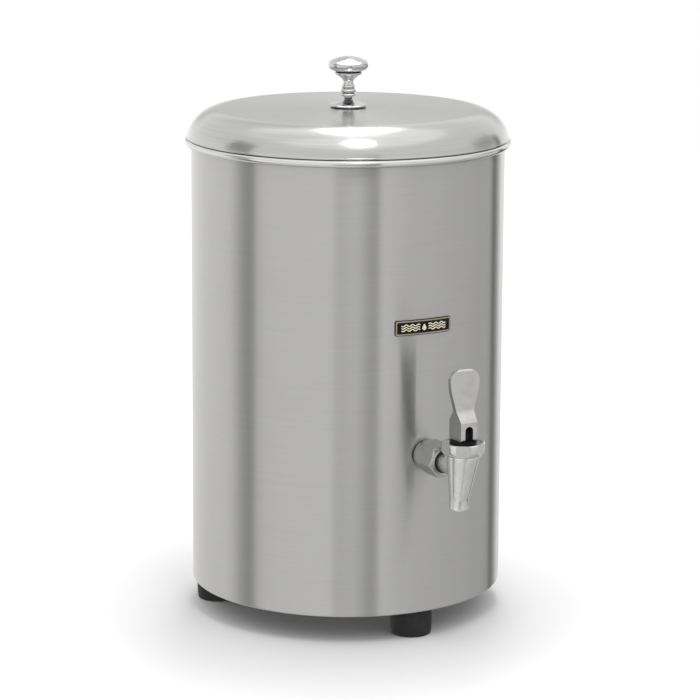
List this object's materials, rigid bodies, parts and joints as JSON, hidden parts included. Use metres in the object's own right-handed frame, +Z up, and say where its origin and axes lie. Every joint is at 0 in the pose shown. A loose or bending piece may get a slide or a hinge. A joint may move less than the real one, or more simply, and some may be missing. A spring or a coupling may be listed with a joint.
{
  "type": "hot water urn",
  "caption": "Insulated round steel urn for hot drinks, with a lift-off domed lid, turned knob, rubber feet and a self-closing lever tap.",
  "frame": {"origin": "on the surface that the feet stand on, at the middle of the whole urn's box; the body's own vertical axis stands 33 mm behind it", "axes": "+Z up; the tap and the label face -Y; +X to the right of someone who stands at the tap"},
  "size_m": [0.2608, 0.3269, 0.4466],
  "materials": {
    "brushed_shell": "fine horizontal brushing, satin",
    "tank_steel": "polished",
    "lid_steel": "spun and satin polished",
    "chrome": "bright chrome",
    "bonnet_chrome": "bright chrome",
    "tap_chrome": "bright chrome",
    "handle_steel": "satin, tumbled",
    "fastener_steel": "bright zinc",
    "spring_steel": "drawn wire",
    "plate_steel": "mill finish",
    "foam": "rigid foam, cut",
    "foot_rubber": "matt black rubber",
    "seal_rubber": "soft black rubber",
    "silicone": "translucent white silicone",
    "black_plastic": "black acetal",
    "spacer_plastic": "natural nylon",
    "label_black": "satin black lacquer",
    "label_gold": "pale gold, satin"
  },
  "bodies": {
    "root": {"outer_shell": "brushed_shell", "inner_tank": "tank_steel", "side_insulation": "foam", "base_insulation": "foam", "base_plate": "plate_steel", "front_foot": "foot_rubber", "right_foot": "foot_rubber", "left_foot": "foot_rubber", "foot_screws": "fastener_steel", "foot_washers": "fastener_steel", "foot_nuts": "fastener_steel", "label_plate": "label_black", "label_frame": "label_gold", "tap_shank": "tap_chrome", "shank_o_ring": "seal_rubber", "shell_gasket": "seal_rubber", "shank_spacer": "spacer_plastic", "tank_gasket": "seal_rubber", "shank_washer": "fastener_steel", "shank_nut": "fastener_steel", "tap_body": "tap_chrome", "bonnet": "bonnet_chrome", "bonnet_seal": "silicone", "stem_guide": "black_plastic"},
    "stem": {"valve_stem": "black_plastic", "seat_cup": "silicone", "stem_o_ring": "seal_rubber", "valve_spring": "spring_steel"},
    "handle": {"handle": "handle_steel", "handle_pin": "fastener_steel"},
    "lid": {"lid_dome": "lid_steel", "lid_ring": "tank_steel", "lid_knob": "chrome", "knob_washer": "fastener_steel", "knob_screw": "fastener_steel"}
  },
  "joints": [
    {"name": "stem_lift", "type": "slide", "parent": "root", "child": "stem", "axis": [0, 0, 1], "range_m": [0, 0.0033], "deforming": ["valve_spring"]},
    {"name": "handle_tilt", "type": "hinge", "parent": "stem", "child": "handle", "pos_m": [0, -0.14693, 0.1792], "axis": [1, 0, 0], "range_deg": [0, 35], "stiffness_Nm_per_rad": 0.4, "springref_deg": -5.73},
    {"name": "lid_lift", "type": "slide", "parent": "root", "child": "lid", "axis": [0, 0, 1], "range_m": [0, 0.12]}
  ],
  "couplings": [
    {"joint": "handle_tilt", "follows": "stem_lift", "rad_per_m": 185}
  ]
}
